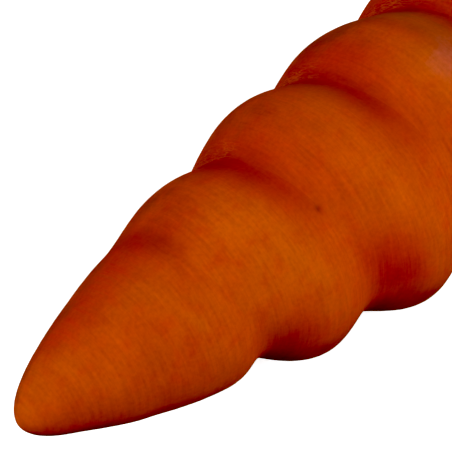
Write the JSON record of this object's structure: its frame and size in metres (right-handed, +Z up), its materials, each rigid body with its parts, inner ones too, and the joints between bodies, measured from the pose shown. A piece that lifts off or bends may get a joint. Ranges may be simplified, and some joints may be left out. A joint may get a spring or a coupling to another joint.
{
  "type": "carrot",
  "caption": "Stout, blunt-tipped carrot root with a deep spiral of swollen lobes and short trimmed leaf stalks, lying on its side.",
  "frame": {"origin": "on the surface it lies on, below the middle of the whole carrot's box", "axes": "+X from the root's tip to its crown, +Z up; the root's axis climbs 5 degrees towards the crown"},
  "size_m": [0.156, 0.0596, 0.0599],
  "materials": {
    "root": "satin",
    "stalk": "matte"
  },
  "bodies": {
    "root": {"carrot_root": "root", "leaf_stalk_1": "stalk", "leaf_stalk_2": "stalk", "leaf_stalk_3": "stalk", "leaf_stalk_4": "stalk", "leaf_stalk_5": "stalk", "leaf_stalk_6": "stalk", "leaf_stalk_7": "stalk"}
  },
  "joints": []
}
